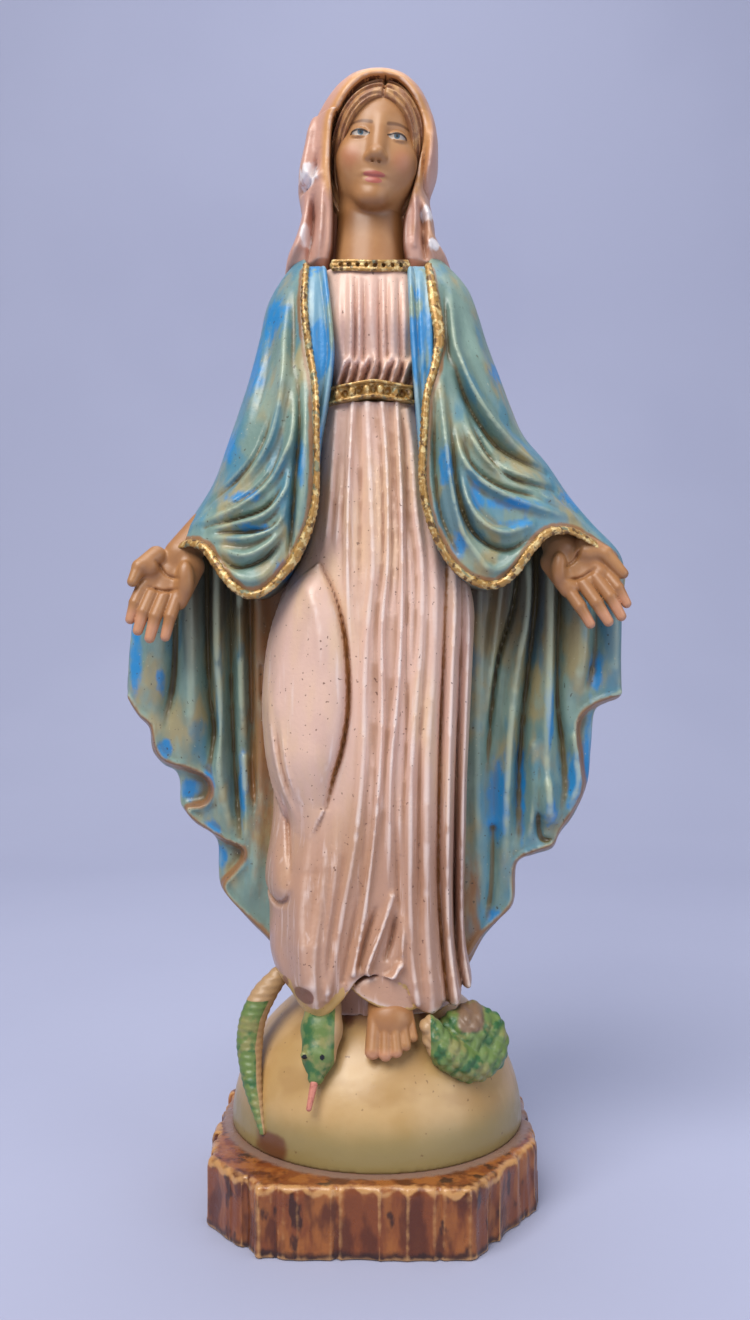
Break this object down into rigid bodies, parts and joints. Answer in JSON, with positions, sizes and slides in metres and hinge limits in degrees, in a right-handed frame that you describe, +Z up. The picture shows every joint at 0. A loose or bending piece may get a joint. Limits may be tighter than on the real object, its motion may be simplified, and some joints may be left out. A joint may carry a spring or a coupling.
{
  "type": "statuette",
  "caption": "Painted resin statuette of a veiled, robed woman with open lowered hands, standing on a globe with a snake at her feet, on a carved eight-sided plinth.",
  "frame": {"origin": "middle of the plinth's flat underside", "axes": "+Z up along the figure, the figure faces -Y, +X to the viewer's right"},
  "size_m": [0.0689, 0.0455, 0.1592],
  "materials": {
    "carved_brown": "glossy brown paint over carved facets, burnt-dark stains, tan rubbed edges",
    "globe_ochre": "satin ochre paint, olive towards the foot",
    "snake_green": "satin green paint with dark scale lines",
    "tongue_red": "satin dull red paint",
    "flesh": "satin flesh paint with tan wash in the creases",
    "gown_pink": "satin pale pink paint, brown wash in the pleats",
    "mantle_teal": "satin sage green and blue patches, brown wash in the folds",
    "lining_blue": "satin light blue paint",
    "gilt": "worn gold paint",
    "hair_brown": "satin light brown paint",
    "veil_tan": "satin pinkish tan paint with pale rubbed ripples"
  },
  "bodies": {
    "root": {"plinth": "carved_brown", "globe": "globe_ochre", "snake_tail": "snake_green", "snake_head": "snake_green", "snake_tongue": "tongue_red", "snake_coil": "snake_green", "foot": "flesh", "skirt": "gown_pink", "belt": "gilt", "bodice": "gown_pink", "collar_band": "gilt", "mantle_back": "mantle_teal", "sleeve_left": "mantle_teal", "sleeve_right": "mantle_teal", "lining_left": "lining_blue", "lining_right": "lining_blue", "trim_left": "gilt", "trim_right": "gilt", "hand_left": "flesh", "hand_right": "flesh", "head": "flesh", "hair": "hair_brown", "veil": "veil_tan"}
  },
  "joints": []
}
